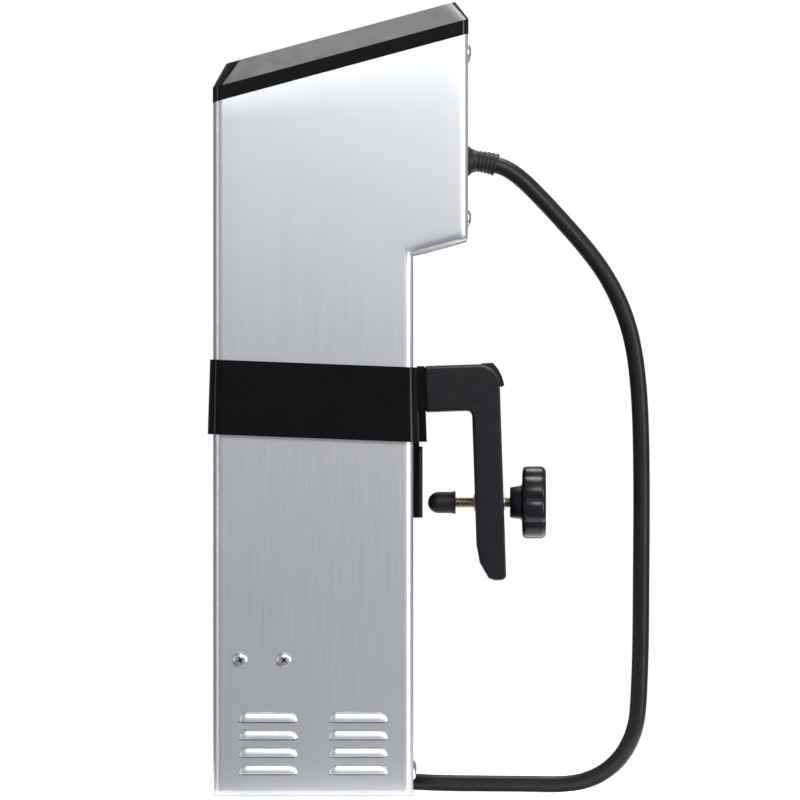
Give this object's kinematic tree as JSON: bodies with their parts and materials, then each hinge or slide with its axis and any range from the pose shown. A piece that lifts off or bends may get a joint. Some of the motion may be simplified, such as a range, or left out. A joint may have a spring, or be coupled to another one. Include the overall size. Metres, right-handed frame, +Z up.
{
  "type": "sous vide circulator",
  "caption": "Upright steel-cased immersion heater and pump with a sloped control cap, sliding collar and screw clamp for a pot rim.",
  "frame": {"origin": "centre of the flat base plate's underside", "axes": "+Z up along the body, +X towards the back, where the clamp and the cord are, +Y across the body"},
  "size_m": [0.2118, 0.2512, 0.3793],
  "materials": {
    "case_steel": "satin brushed stainless steel sheet",
    "bright_steel": "bright turned stainless steel",
    "heater_steel": "drawn stainless tube",
    "gloss_black": "polished black moulding",
    "satin_black": "satin black moulding",
    "rubber_black": "soft matt rubber",
    "cord_rubber": "smooth cord jacket",
    "lens_dark": "smoked display window",
    "key_grey": "fine matt key caps",
    "board_green": "lacquered circuit board",
    "aluminium": "mill finish sheet",
    "inner_plastic": "natural engineering plastic",
    "brass": "plain brass"
  },
  "bodies": {
    "case": {"main_case": "case_steel", "back_cover": "case_steel", "bottom_plate": "case_steel", "back_screw_1": "bright_steel", "back_screw_2": "bright_steel", "back_screw_3": "bright_steel", "back_screw_4": "bright_steel", "back_screw_5": "bright_steel", "back_screw_6": "bright_steel", "side_screw_1": "bright_steel", "side_screw_2": "bright_steel", "side_screw_3": "bright_steel", "side_screw_4": "bright_steel", "upper_bearing": "bright_steel", "lower_bearing": "bright_steel", "temp_probe": "bright_steel", "level_probe": "bright_steel", "heater_coil": "heater_steel", "motor_housing": "heater_steel", "top_cap": "gloss_black", "cord_tie": "satin_black", "cap_gasket": "rubber_black", "shaft_seal": "rubber_black", "strain_relief": "cord_rubber", "power_cord": "cord_rubber", "cord_tail": "cord_rubber", "cord_hank": "cord_rubber", "plug_body": "cord_rubber", "display_lens": "lens_dark", "main_board": "board_green", "display_board": "board_green", "motor_bracket": "aluminium", "pump_bracket": "aluminium", "heat_sink": "aluminium", "bulkhead": "inner_plastic", "pump_housing": "inner_plastic", "terminal_block": "inner_plastic", "heater_nut_1": "brass", "heater_nut_2": "brass", "plug_blade_1": "brass", "plug_blade_2": "brass", "plug_ground_pin": "brass"},
    "collar": {"collar": "gloss_black", "jaw_pad": "rubber_black", "clamp_plate": "satin_black", "clamp_arm": "satin_black", "thread_insert": "brass", "arm_screw_1": "bright_steel", "arm_screw_2": "bright_steel"},
    "tip": {"screw_tip": "rubber_black"},
    "knob": {"clamp_screw": "bright_steel", "clamp_knob": "satin_black"},
    "rotor": {"motor_shaft": "bright_steel", "impeller": "inner_plastic", "fan_rotor": "satin_black"},
    "key_power": {"key_power": "key_grey"},
    "key_set": {"key_set": "key_grey"},
    "key_up": {"key_up": "key_grey"},
    "key_down": {"key_down": "key_grey"}
  },
  "joints": [
    {"name": "collar_slide", "type": "slide", "parent": "case", "child": "collar", "axis": [0, 0, 1], "range_m": [-0.098, 0.05]},
    {"name": "tip_travel", "type": "slide", "parent": "collar", "child": "tip", "axis": [-1, 0, 0], "range_m": [-0.0084, 0.0022]},
    {"name": "knob_turn", "type": "hinge", "parent": "tip", "child": "knob", "pos_m": [0.0943, 0, 0.1399], "axis": [-1, 0, 0], "range_deg": [-3780, 990]},
    {"name": "rotor_spin", "type": "hinge", "parent": "case", "child": "rotor", "pos_m": [0.012, 0, 0.15], "axis": [0, 0, 1], "continuous": true},
    {"name": "key_power_press", "type": "slide", "parent": "case", "child": "key_power", "axis": [0.2605, 0, -0.9655], "range_m": [0, 0.0008], "stiffness_N_per_m": 1500, "springref_m": -0.0005},
    {"name": "key_set_press", "type": "slide", "parent": "case", "child": "key_set", "axis": [0.2605, 0, -0.9655], "range_m": [0, 0.0008], "stiffness_N_per_m": 1500, "springref_m": -0.0005},
    {"name": "key_up_press", "type": "slide", "parent": "case", "child": "key_up", "axis": [0.2605, 0, -0.9655], "range_m": [0, 0.0008], "stiffness_N_per_m": 1500, "springref_m": -0.0005},
    {"name": "key_down_press", "type": "slide", "parent": "case", "child": "key_down", "axis": [0.2605, 0, -0.9655], "range_m": [0, 0.0008], "stiffness_N_per_m": 1500, "springref_m": -0.0005}
  ],
  "couplings": [
    {"joint": "knob_turn", "follows": "tip_travel", "rad_per_m": 7854}
  ]
}
